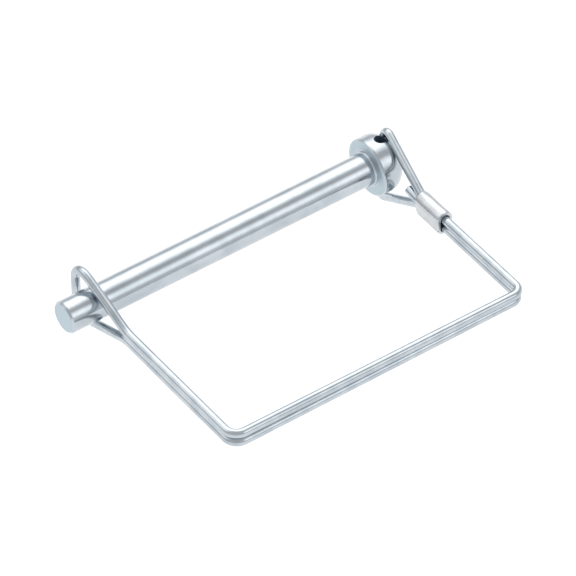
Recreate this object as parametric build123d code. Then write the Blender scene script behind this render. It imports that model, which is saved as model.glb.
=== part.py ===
from build123d import *
import math
import os

# Wire-lock hitch pin.  Millimetres.  The pin axis is X with the head towards +X,
# the origin is where the axis meets the load face of the head, and the bail lies
# on the -Y side with its two strands stacked along Z.

# headed pin
PIN_D = 7.94
PIN_LENGTH = 83.5
TIP_CHAMFER = 0.5
ROOT_FILLET = 0.4
HEAD_D = 14.2
HEAD_LENGTH = 8.0
HEAD_BARREL = 3.2
HEAD_RIM = 0.7

# open cross hole in the head
OPEN_HOLE_D = 2.9
OPEN_HOLE_X = 4.05
OPEN_HOLE_FLOOR = 1.6
OPEN_HOLE_CHAMFER = 0.35

# bail wire
WIRE_D = 2.2
STRAND_GAP = 0.04
ARM_X = 3.6
SIDE_Y = -54.0
REAR_BEND = 2.5
FRONT_BEND = 3.0

# hinge hole and the triangle of wire that runs through it
HINGE_Y = 1.6
HINGE_X = 5.65
HINGE_LEAN = 0.10
HINGE_CLEARANCE = 0.06
UPPER_ELBOW_RISE = 1.6
LOWER_ELBOW_DROP = 4.7
UPPER_ELBOW_BEND = 1.7
LOWER_ELBOW_BEND = 2.0
UPPER_SPREAD_Y = -17.7
LOWER_SPREAD_Y = -15.8
SPREAD_BEND = 5.0

# cut end of the wire standing out of the ferrule
STUB_START = (3.4, -16.8, -0.2)
STUB_END = (3.2, -11.9, 0.9)

# crimped ferrule
FERRULE_START_Y = -16.9
FERRULE_END_Y = -25.5
FERRULE_WALL = 1.05
FERRULE_STRAIGHT = 0.95
FERRULE_OFFSET_X = -0.2
FERRULE_OFFSET_Z = 0.3
CRIMP = 0.01
FLARE_DEPTH = 1.3
FLARE_GAP = 0.4

# latch loop that snaps over the tip of the pin
LOOP_X = -75.35
SPLIT_Y = -50.4
SPLIT_GAP = 0.3
UPPER_MERGE_Y = -13.2
LOWER_MERGE_Y = -13.0
MERGE_BEND = 9.0
UPPER_KNEE_X = -0.12
UPPER_KNEE_Y = 1.0
UPPER_KNEE_CLEAR = 1.70
LOWER_KNEE_X = 0.25
LOWER_KNEE_Y = 1.2
LOWER_KNEE_CLEAR = 1.80
KNEE_BEND = 14.0
UPPER_CORNER_X = -0.30
UPPER_CORNER_Y_CLEAR = 1.53
UPPER_CORNER_Z_CLEAR = 3.08
LOWER_CORNER_X = 0.30
LOWER_CORNER_Y_CLEAR = 2.13
LOWER_CORNER_Z_CLEAR = 3.53
CORNER_BEND = 3.5

wire_r = WIRE_D / 2
pin_r = PIN_D / 2
head_r = HEAD_D / 2
strand_half = wire_r + STRAND_GAP / 2
ferrule_r = wire_r + FERRULE_WALL
beside_pin = pin_r + wire_r
upper_elbow_z = head_r + UPPER_ELBOW_RISE
lower_elbow_z = -head_r - LOWER_ELBOW_DROP


def bent_path(points, bends):
    """Straight runs through the points, each corner rounded to its bend radius."""
    corners = [Vector(*point) for point in points]
    edges = []
    start = corners[0]
    for before, corner, after, bend in zip(corners, corners[1:], corners[2:], bends):
        back = (before - corner).normalized()
        ahead = (after - corner).normalized()
        half = math.acos(back.dot(ahead)) / 2
        middle = (back + ahead).normalized()
        reach = bend / math.tan(half)
        crown = corner + middle * (bend / math.sin(half) - bend)
        edges.append(Line(start, corner + back * reach))
        edges.append(ThreePointArc(corner + back * reach, crown, corner + ahead * reach))
        start = corner + ahead * reach
    edges.append(Line(start, corners[-1]))
    return Wire(edges)


def round_bar(path, radius):
    """Round bar of the given radius drawn along a path."""
    section = Plane(origin=path @ 0, z_dir=path % 0) * Circle(radius)
    return sweep(section, path=path)


def oval_bar(radius, half_straight, start_y, end_y):
    """Bar with an oval section, its long way up, running along Y."""
    section = Plane(origin=(0, start_y, 0), x_dir=(0, 0, 1), z_dir=(0, -1, 0)) * SlotCenterToCenter(
        2 * half_straight, 2 * radius
    )
    return extrude(section, start_y - end_y)


def hinge_point(z):
    """Point of the hinge axis at height z."""
    return (HINGE_X + HINGE_LEAN * z, HINGE_Y, z)


# Headed pin: one turned profile, then the hinge hole and the open cross hole.
outline = [
    Line((-PIN_LENGTH, 0), (-PIN_LENGTH, pin_r - TIP_CHAMFER)),
    Line((-PIN_LENGTH, pin_r - TIP_CHAMFER), (-PIN_LENGTH + TIP_CHAMFER, pin_r)),
    Line((-PIN_LENGTH + TIP_CHAMFER, pin_r), (-ROOT_FILLET, pin_r)),
    RadiusArc((-ROOT_FILLET, pin_r), (0, pin_r + ROOT_FILLET), ROOT_FILLET),
    Line((0, pin_r + ROOT_FILLET), (0, head_r - HEAD_RIM)),
    RadiusArc((0, head_r - HEAD_RIM), (HEAD_RIM, head_r), HEAD_RIM),
    Line((HEAD_RIM, head_r), (HEAD_BARREL, head_r)),
    EllipticalCenterArc((HEAD_BARREL, 0), HEAD_LENGTH - HEAD_BARREL, head_r, arc_size=90),
    Line((HEAD_LENGTH, 0), (-PIN_LENGTH, 0)),
]
profile = make_face(Wire(outline))
headed_pin = revolve(profile, axis=Axis.X)

hinge_hole = round_bar(
    bent_path([hinge_point(-head_r - 2), hinge_point(head_r + 2)], []),
    wire_r + HINGE_CLEARANCE,
)
open_hole_depth = head_r + 2 - OPEN_HOLE_FLOOR
open_hole = Pos(OPEN_HOLE_X, 0, OPEN_HOLE_FLOOR + open_hole_depth / 2) * Cylinder(
    OPEN_HOLE_D / 2, open_hole_depth
)
mouth = Pos(OPEN_HOLE_X, 0, head_r) * Cone(
    OPEN_HOLE_D / 2 - 0.15, OPEN_HOLE_D / 2 + 2 * OPEN_HOLE_CHAMFER - 0.15, 2 * OPEN_HOLE_CHAMFER
)
headed_pin = headed_pin - hinge_hole - (open_hole + mouth)

# Bail wire: both strands of the front corner, the long side and the arm, and the
# triangle through the hinge hole, in one length, with the cut end beside it.
bail_points = [
    (LOOP_X, SPLIT_Y, strand_half),
    (LOOP_X, SIDE_Y, strand_half),
    (ARM_X, SIDE_Y, strand_half),
    (ARM_X, UPPER_SPREAD_Y, strand_half),
    hinge_point(upper_elbow_z),
    hinge_point(lower_elbow_z),
    (ARM_X, LOWER_SPREAD_Y, -strand_half),
    (ARM_X, SIDE_Y, -strand_half),
    (LOOP_X, SIDE_Y, -strand_half),
    (LOOP_X, SPLIT_Y, -strand_half),
]
bail_bends = [
    FRONT_BEND,
    REAR_BEND,
    SPREAD_BEND,
    UPPER_ELBOW_BEND,
    LOWER_ELBOW_BEND,
    SPREAD_BEND,
    REAR_BEND,
    FRONT_BEND,
]
bail_path = bent_path(bail_points, bail_bends)
bail_wire = round_bar(bail_path, wire_r)
stub = round_bar(bent_path([STUB_START, STUB_END], []), wire_r)
bail_wire = bail_wire + stub

# Ferrule: oval sleeve crimped over the two strands, opened out at its far end.
ferrule = Pos(ARM_X + FERRULE_OFFSET_X, 0, FERRULE_OFFSET_Z) * oval_bar(
    ferrule_r, FERRULE_STRAIGHT, FERRULE_START_Y, FERRULE_END_Y
)
cavity = Pos(ARM_X, 0, 0) * oval_bar(
    wire_r - CRIMP, strand_half, FERRULE_START_Y + 1, FERRULE_END_Y - 1
)
flare = Pos(ARM_X, 0, 0) * oval_bar(
    wire_r + FLARE_GAP, strand_half, FERRULE_END_Y + FLARE_DEPTH, FERRULE_END_Y - 1
)
spread = round_bar(
    bent_path(
        [
            (ARM_X, FERRULE_END_Y, strand_half),
            (ARM_X, UPPER_SPREAD_Y, strand_half),
            hinge_point(upper_elbow_z),
        ],
        [SPREAD_BEND],
    ),
    wire_r,
)
ferrule = ferrule - cavity - flare - spread

# Latch loop: the sprung end of the same wire, ending in the triangle round the tip.
loop_points = [
    (LOOP_X, SPLIT_Y + SPLIT_GAP, strand_half),
    (LOOP_X, UPPER_MERGE_Y, strand_half),
    (LOOP_X + UPPER_KNEE_X, UPPER_KNEE_Y, beside_pin + UPPER_KNEE_CLEAR),
    (LOOP_X + UPPER_CORNER_X, beside_pin + UPPER_CORNER_Y_CLEAR, beside_pin + UPPER_CORNER_Z_CLEAR),
    (LOOP_X + LOWER_CORNER_X, beside_pin + LOWER_CORNER_Y_CLEAR, -beside_pin - LOWER_CORNER_Z_CLEAR),
    (LOOP_X + LOWER_KNEE_X, LOWER_KNEE_Y, -beside_pin - LOWER_KNEE_CLEAR),
    (LOOP_X, LOWER_MERGE_Y, -strand_half),
    (LOOP_X, SPLIT_Y + SPLIT_GAP, -strand_half),
]
loop_bends = [MERGE_BEND, KNEE_BEND, CORNER_BEND, CORNER_BEND, KNEE_BEND, MERGE_BEND]
latch_loop = round_bar(bent_path(loop_points, loop_bends), wire_r)

parts = {
    "headed_pin": headed_pin,
    "bail_wire": bail_wire,
    "ferrule": ferrule,
    "latch_loop": latch_loop,
}
os.makedirs("parts", exist_ok=True)
for name, solid in parts.items():
    export_step(solid, f"parts/{name}.step")
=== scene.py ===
import math
import bpy
import bmesh
from mathutils import Matrix, Vector


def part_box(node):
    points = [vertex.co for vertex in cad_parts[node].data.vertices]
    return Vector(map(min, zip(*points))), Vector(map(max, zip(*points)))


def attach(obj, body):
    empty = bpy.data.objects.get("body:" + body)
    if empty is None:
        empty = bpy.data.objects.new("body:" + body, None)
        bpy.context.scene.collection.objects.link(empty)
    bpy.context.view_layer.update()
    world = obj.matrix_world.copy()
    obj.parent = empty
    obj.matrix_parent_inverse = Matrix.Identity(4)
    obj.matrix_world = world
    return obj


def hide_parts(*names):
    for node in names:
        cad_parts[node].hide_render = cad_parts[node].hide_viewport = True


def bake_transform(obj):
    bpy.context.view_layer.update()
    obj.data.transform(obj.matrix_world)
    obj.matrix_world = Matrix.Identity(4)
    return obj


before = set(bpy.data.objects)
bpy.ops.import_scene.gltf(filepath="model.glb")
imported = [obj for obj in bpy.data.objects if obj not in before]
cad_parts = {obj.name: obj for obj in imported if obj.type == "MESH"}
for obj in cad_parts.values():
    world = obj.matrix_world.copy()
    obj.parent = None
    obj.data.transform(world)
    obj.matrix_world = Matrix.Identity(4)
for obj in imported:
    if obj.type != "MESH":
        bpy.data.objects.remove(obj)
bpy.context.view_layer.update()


# Headed pin.  Cold-headed steel, turned to size, drilled across the head and barrel
# plated in bright zinc.  The tip and the load face are duller, because tumbling parts
# strike there first.  The inside of the drilled hole is painted dark and made less metallic, as
# painted shade.
class Value:
    def __init__(self, shader, socket):
        self.shader = shader
        self.socket = socket

    def maths(self, operation, *inputs):
        return self.shader.node("ShaderNodeMath", {"operation": operation}, inputs)

    def __add__(self, other):
        return self.maths("ADD", self, other)

    def __sub__(self, other):
        return self.maths("SUBTRACT", self, other)

    def __mul__(self, other):
        return self.maths("MULTIPLY", self, other)

    def __rsub__(self, other):
        return self.maths("SUBTRACT", other, self)

    __radd__ = __add__
    __rmul__ = __mul__

    def rising(self, low, high):
        return self.shader.node(
            "ShaderNodeMapRange",
            {"clamp": True, "interpolation_type": "SMOOTHSTEP"},
            {"Value": self, "From Min": low, "From Max": high},
        )

    def falling(self, low, high):
        return 1 - self.rising(low, high)


class Shader:
    def __init__(self, name):
        self.material = bpy.data.materials.new(name)
        self.material.use_nodes = True
        self.tree = self.material.node_tree
        self.surface = self.tree.nodes["Principled BSDF"]
        self.place = self.node("ShaderNodeTexCoord", {}, {}, "Object")
        self.x, self.y, self.z = (
            self.node("ShaderNodeSeparateXYZ", {}, [self.place], axis) for axis in "XYZ"
        )

    def node(self, kind, settings, inputs, output=0):
        made = self.tree.nodes.new(kind)
        for key, setting in settings.items():
            setattr(made, key, setting)
        named = inputs.items() if isinstance(inputs, dict) else enumerate(inputs)
        for key, value in named:
            self.join(value, made.inputs[key])
        return Value(self, made.outputs[output])

    def join(self, value, socket):
        if isinstance(value, Value):
            self.tree.links.new(value.socket, socket)
        else:
            socket.default_value = value

    def noise(self, scale, detail, stretch=(1.0, 1.0, 1.0)):
        placed = self.node("ShaderNodeMapping", {}, {"Vector": self.place, "Scale": stretch})
        return self.node(
            "ShaderNodeTexNoise",
            {},
            {"Vector": placed, "Scale": scale, "Detail": detail, "Roughness": 0.55},
        )

    def colours(self, mask, first, second):
        return self.node(
            "ShaderNodeMix", {"data_type": "RGBA"}, {0: mask, 6: first, 7: second}, 2
        )

    def relief(self, height, distance, strength, under=None):
        inputs = {"Height": height, "Distance": distance, "Strength": strength}
        if under is not None:
            inputs["Normal"] = under
        return self.node("ShaderNodeBump", {}, inputs)

    def finish(self, **values):
        for key, value in values.items():
            self.join(value, self.surface.inputs[key.replace("_", " ")])
        return self.material


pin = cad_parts["headed_pin"]
tip_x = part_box("headed_pin")[0][0]
hole_x = 0.00405
hole_r = 0.00145

plate = Shader("bright_zinc_pin")
across = plate.node("ShaderNodeVectorMath", {"operation": "LENGTH"}, [
    plate.node("ShaderNodeCombineXYZ", {}, {"Y": plate.y, "Z": plate.z})
], "Value")
from_hole = plate.node("ShaderNodeVectorMath", {"operation": "LENGTH"}, [
    plate.node("ShaderNodeCombineXYZ", {}, {"X": plate.x - hole_x, "Y": plate.y})
], "Value")
cloud = plate.noise(170, 3)
mottle = plate.noise(900, 4)
turned = plate.noise(900, 3, (6.0, 1.0, 1.0))
scuffs = plate.noise(420, 5).rising(0.60, 0.76)
tip_face = plate.x.falling(tip_x + 0.00002, tip_x + 0.00008)
load_face = plate.x.falling(0.00003, 0.0004) * across.rising(0.0045, 0.0048)
dull = tip_face + load_face
# Painted shade: a mask over the inside of the drilled hole, used below to colour it dark and make
# it less metallic.
hole_painted_shade = (
    from_hole.falling(hole_r + 0.00001, hole_r + 0.00005)
    * plate.z.falling(0.0066, 0.0069)
    * plate.z.rising(0.001, 0.0012)
)
tone = plate.colours(cloud.rising(0.36, 0.66), (0.53, 0.575, 0.61, 1), (0.455, 0.50, 0.535, 1))
tone = plate.colours(scuffs * 0.25, tone, (0.42, 0.45, 0.48, 1))
tone = plate.colours(dull, tone, (0.47, 0.55, 0.60, 1))
# Painted shade inside the drilled hole: a dark blue-grey in place of the plating.
tone = plate.colours(hole_painted_shade, tone, (0.09, 0.13, 0.18, 1))
rough = cloud * 0.05 + mottle * 0.05 + scuffs * 0.10 + dull * 0.28 + 0.11
smooth_form = plate.relief(cloud, 0.00005, 0.25)
surface = plate.relief(turned + mottle, 0.000012, 0.6, smooth_form)
pin.data.materials.clear()
pin.data.materials.append(
    plate.finish(Base_Color=tone, Metallic=1 - hole_painted_shade, Roughness=rough, Normal=surface)
)


# Bail wire.  One length of hard-drawn 2.2 mm spring wire, zinc plated, bent cold and
# doubled back on itself: a triangle through the head, two strands round the bail and
# the latch triangle at the tip.  Its ends meet in the ferrule, and one stands out.
wire_r = 0.0011
strand = 0.00112
arm_x = 0.0036
loop_x = -0.07535


def feed(wire, ring, run):
    """Pushes the open end of the wire straight on by run."""
    steps = max(1, round(run.length / 0.003))
    for _ in range(steps):
        grown = bmesh.ops.extrude_edge_only(wire, edges=ring)["geom"]
        fresh = {part for part in grown if isinstance(part, bmesh.types.BMVert)}
        ring = [
            part
            for part in grown
            if isinstance(part, bmesh.types.BMEdge) and set(part.verts) <= fresh
        ]
        bmesh.ops.translate(wire, verts=list(fresh), vec=run / steps)
    return ring


def turn(wire, ring, centre, axle, angle):
    """Turns the open end of the wire round an axle, as over a bending post."""
    corners = {vert for edge in ring for vert in edge.verts}
    spun = bmesh.ops.spin(
        wire,
        geom=list(corners) + ring,
        cent=centre,
        axis=axle,
        dvec=(0, 0, 0),
        angle=angle,
        steps=max(4, round(math.degrees(angle) / 5)),
        use_duplicate=False,
    )
    return [part for part in spun["geom_last"] if isinstance(part, bmesh.types.BMEdge)]


def bent_wire(wire, points, bends):
    """Wire through the points, each inner point rounded to its bend radius."""
    here = points[0]
    heading = (points[1] - here).normalized()
    start = bmesh.ops.create_circle(wire, segments=40, radius=wire_r)["verts"]
    ring = list({edge for vert in start for edge in vert.link_edges})
    bmesh.ops.rotate(wire, verts=start, matrix=heading.to_track_quat("Z", "Y").to_matrix())
    bmesh.ops.translate(wire, verts=start, vec=here)
    first = ring
    for corner, after, bend in zip(points[1:], points[2:], bends):
        heading = (corner - here).normalized()
        ahead = (after - corner).normalized()
        angle = heading.angle(ahead)
        reach = bend * math.tan(angle / 2)
        ring = feed(wire, ring, corner - heading * reach - here)
        here = corner + ahead * reach
        axle = heading.cross(ahead).normalized()
        post = corner - heading * reach + axle.cross(heading) * bend
        ring = turn(wire, ring, post, axle, angle)
    ring = feed(wire, ring, points[-1] - here)
    return first, ring


hinge_foot = Vector((0.00565, 0.0016, 0))
hinge_lean = Vector((0.10, 0, 1))
upper_elbow_rise = 0.0082
lower_elbow_drop = 0.0118
upper_elbow = hinge_foot + hinge_lean * upper_elbow_rise
lower_elbow = hinge_foot - hinge_lean * lower_elbow_drop
wire = bmesh.new()
round_trip = [
    Vector((arm_x, -0.0215, strand)),
    Vector((arm_x + 0.00002, -0.05415, strand)),
    Vector((loop_x + 0.00002, -0.05392, strand)),
    Vector((loop_x, -0.0132, strand)),
    Vector((loop_x - 0.00012, 0.0010, 0.00645)),
    Vector((loop_x - 0.00030, 0.0066, 0.00815)),
    Vector((loop_x + 0.00030, 0.0072, -0.00860)),
    Vector((loop_x + 0.00025, 0.0012, -0.00660)),
    Vector((loop_x, -0.0130, -strand)),
    Vector((loop_x, -0.05412, -strand)),
    Vector((arm_x, -0.05385, -strand)),
    Vector((arm_x, -0.0158, -strand)),
    lower_elbow,
    upper_elbow,
    Vector((arm_x, -0.0177, strand)),
    Vector((arm_x, -0.0212, strand)),
]
bends = [0.0025, 0.0030, 0.009, 0.014, 0.0035, 0.0035, 0.014, 0.009,
         0.0030, 0.0025, 0.005, 0.0020, 0.0017, 0.005]
for hidden_end in bent_wire(wire, round_trip, bends):
    bmesh.ops.contextual_create(wire, geom=hidden_end)

cut_end = [Vector((0.0034, -0.0185, -0.0005)), Vector((0.0032, -0.0119, 0.0009))]
back, front = bent_wire(wire, cut_end, [])
bmesh.ops.contextual_create(wire, geom=back)
cap = bmesh.ops.contextual_create(wire, geom=front)["faces"]
rim = [edge for face in cap for edge in face.edges]
bmesh.ops.bevel(
    wire, geom=rim, offset=0.00018, segments=2, profile=0.5, affect="EDGES", material=-1
)
bmesh.ops.recalc_face_normals(wire, faces=wire.faces)
for face in wire.faces:
    face.smooth = len(face.verts) == 4
bail_mesh = bpy.data.meshes.new("sprung_bail_wire")
wire.to_mesh(bail_mesh)
bail = bpy.data.objects.new("sprung_bail_wire", bail_mesh)
bpy.context.collection.objects.link(bail)

drawn = Shader("bright_zinc_wire")
cloud = drawn.noise(240, 3)
mottle = drawn.noise(1300, 3)
scuffs = drawn.noise(600, 5).rising(0.60, 0.76)
tone = drawn.colours(cloud.rising(0.36, 0.66), (0.52, 0.565, 0.60, 1), (0.43, 0.475, 0.515, 1))
tone = drawn.colours(scuffs * 0.3, tone, (0.42, 0.44, 0.47, 1))
rough = cloud * 0.05 + mottle * 0.05 + scuffs * 0.12 + 0.08
form = drawn.relief(cloud, 0.00003, 0.25)
surface = drawn.relief(mottle, 0.000010, 0.6, form)
bail_mesh.materials.append(
    drawn.finish(Base_Color=tone, Metallic=1.0, Roughness=rough, Normal=surface)
)
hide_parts("bail_wire", "latch_loop")
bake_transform(bail)


# Ferrule.  A short oval sleeve of thin steel, pressed over both strands: flat along its
# sides, rolled in at the mouth, opened a little at the far end, with the lap of the
# sheet showing as a fine line down one side.
mouth_y, far_y = -0.0169, -0.0255
sleeve_x, sleeve_z = arm_x - 0.0002, 0.0003


def oval(metal, half_width, half_straight, y, x, z, slant=0.0):
    """Ring of edges round an oval section of the sleeve, its long way up."""
    ring = bmesh.ops.create_circle(metal, segments=120, radius=half_width)["verts"]
    for vert in ring:
        vert.co.y += math.copysign(half_straight, vert.co.y)
    bmesh.ops.rotate(
        metal, verts=ring, matrix=Vector((0, 1, 0)).to_track_quat("Z", "Y").to_matrix()
    )
    for vert in ring:
        vert.co = Vector((x + vert.co.x, y + slant * vert.co.z, z + vert.co.z))
    return list({edge for vert in ring for edge in vert.link_edges})


sleeve = bmesh.new()
sections = [
    (0.00208, 0.00095, mouth_y - 0.00025, sleeve_x, sleeve_z, 0.2),
    (0.00215, 0.00095, mouth_y - 0.00050, sleeve_x, sleeve_z, 0.2),
    (0.00213, 0.00095, mouth_y - 0.00250, sleeve_x, sleeve_z),
    (0.00215, 0.00095, far_y + 0.00200, sleeve_x, sleeve_z),
    (0.00215, 0.00095, far_y + 0.00030, sleeve_x, sleeve_z),
    (0.00208, 0.00095, far_y + 0.00005, sleeve_x, sleeve_z),
    (0.00200, 0.00096, far_y, sleeve_x, sleeve_z),
    (0.00132, 0.00112, far_y + 0.00004, arm_x - 0.00004, 0.00003),
    (0.00126, 0.00112, far_y + 0.00010, arm_x - 0.00004, 0.00003),
    (0.00120, 0.00114, far_y + 0.00130, arm_x, 0.00003),
    (0.00112, 0.00112, far_y + 0.00170, arm_x, 0.0),
    (0.00112, 0.00120, mouth_y - 0.00150, arm_x, 0.0001),
    (0.00125, 0.00150, mouth_y - 0.00035, arm_x, 0.0003, 0.2),
    (0.00165, 0.00120, mouth_y - 0.00020, arm_x - 0.0001, 0.0003, 0.2),
]
rings = [oval(sleeve, *section) for section in sections]
for near, far in zip(rings, rings[1:] + rings[:1]):
    bmesh.ops.bridge_loops(sleeve, edges=near + far)
bmesh.ops.recalc_face_normals(sleeve, faces=sleeve.faces)
for face in sleeve.faces:
    face.smooth = True
sleeve_mesh = bpy.data.meshes.new("crimped_ferrule")
sleeve.to_mesh(sleeve_mesh)
ferrule = bpy.data.objects.new("crimped_ferrule", sleeve_mesh)
bpy.context.collection.objects.link(ferrule)

pressed = Shader("pressed_sleeve_zinc")
cloud = pressed.noise(300, 3)
mottle = pressed.noise(1500, 3)
rolled = pressed.noise(800, 4, (1.0, 0.10, 1.0))
tone = pressed.colours(cloud.rising(0.36, 0.66), (0.60, 0.62, 0.635, 1), (0.52, 0.54, 0.56, 1))
lap = (
    pressed.z.rising(-0.00135, -0.00125)
    * pressed.z.falling(-0.00118, -0.00108)
    * pressed.x.falling(0.0018, 0.0020)
)
crease = pressed.z.rising(0.00160, 0.00172) * pressed.z.falling(0.00176, 0.00188)
tone = pressed.colours(lap * 0.8, tone, (0.20, 0.21, 0.23, 1))
rough = mottle * 0.10 + rolled * 0.08 + 0.16
form = pressed.relief(cloud, 0.00004, 0.4)
surface = pressed.relief(rolled + mottle * 0.4 - lap * 6.0 - crease * 2.5, 0.000012, 0.6, form)
sleeve_mesh.materials.append(
    pressed.finish(Base_Color=tone, Metallic=1.0, Roughness=rough, Normal=surface)
)
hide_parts("ferrule")
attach(ferrule, "bail")


# Studio: a white table under one large soft light behind and above, a smaller one in
# front, and a pale room.  The table is 13 mm under the lock, because the leaning hinge
# carries the far end of the bail down that much as it swings right round.
table_z = -0.0246
table = bmesh.new()
bmesh.ops.create_grid(table, x_segments=2, y_segments=2, size=3.0)
bmesh.ops.translate(table, verts=table.verts, vec=(-0.04, -0.02, table_z))
table_mesh = bpy.data.meshes.new("table")
table.to_mesh(table_mesh)
table_top = bpy.data.objects.new("table", table_mesh)
bpy.context.collection.objects.link(table_top)
white = Shader("white_table")
table_mesh.materials.append(
    white.finish(
        Base_Color=white.colours(
            white.noise(6, 2) * 0.3, (0.57, 0.573, 0.577, 1), (0.55, 0.553, 0.557, 1)
        ),
        Roughness=0.7,
        Emission_Color=(1.0, 1.0, 1.0, 1),
        Emission_Strength=0.57,
    )
)


def soft_light(name, towards, distance, size, power):
    lamp = bpy.data.lights.new(name, "AREA")
    lamp.shape = "RECTANGLE"
    lamp.size, lamp.size_y = size
    lamp.energy = power
    light = bpy.data.objects.new(name, lamp)
    aim = Vector(towards).normalized()
    light.location = Vector((-0.038, -0.022, 0)) + aim * distance
    light.rotation_euler = aim.to_track_quat("Z", "Y").to_euler()
    bpy.context.collection.objects.link(light)


soft_light("overhead_softbox", (0.33, 0.52, 0.78), 1.2, (0.9, 0.6), 0.8)
soft_light("front_softbox", (0.417, -0.726, 0.547), 1.2, (0.7, 0.20), 0.08)

room = bpy.data.worlds.new("pale_room")
room.use_nodes = True


class Walls(Shader):
    """The room's light, painted over the directions that it comes from."""

    def __init__(self, world):
        self.tree = world.node_tree
        self.surface = self.tree.nodes["Background"]
        self.place = self.node("ShaderNodeTexCoord", {}, {}, "Generated")
        self.height = self.node("ShaderNodeSeparateXYZ", {}, [self.place], "Z")

    def panel(self, towards, edge, full):
        """1 within full degrees of a direction, fading to 0 at edge degrees."""
        facing = self.node(
            "ShaderNodeVectorMath",
            {"operation": "DOT_PRODUCT"},
            [self.place, Vector(towards).normalized()],
            "Value",
        )
        return facing.rising(math.cos(math.radians(edge)), math.cos(math.radians(full)))


walls = Walls(room)
ceiling = walls.panel((0.417, 0.455, 0.787), 40, 2)
side = walls.panel((-0.42, 0.52, 0.74), 36, 2)
front = walls.panel((0.417, -0.726, 0.547), 22, 2)
glow = ceiling * 1.25 + side * 0.75 + front * 0.85 + walls.height.falling(0.0, 0.45) * 0.18 + 0.66
walls.join(glow, walls.surface.inputs["Strength"])
walls.surface.inputs["Color"].default_value = (0.985, 0.992, 1.0, 1)
bpy.context.scene.world = room
bpy.context.scene.view_settings.view_transform = "Standard"

# Camera: a long lens, well back, looking down on the bail side and the tip, and
# turned a little on its own axis.
lens = bpy.data.cameras.new("camera")
lens.sensor_width = 36
lens.lens = 475
lens.clip_end = 20
camera = bpy.data.objects.new("camera", lens)
back_off = Vector((-0.41747, -0.59010, 0.69102))
aimed_at = Vector((-0.03732, -0.02152, 0))
camera.location = aimed_at + back_off * 1.7004
roll = Matrix.Rotation(math.radians(-0.55), 3, "Z")
tilt = back_off.to_track_quat("Z", "Y").to_matrix() @ roll
camera.rotation_euler = tilt.to_euler()
bpy.context.collection.objects.link(camera)
bpy.context.scene.camera = camera
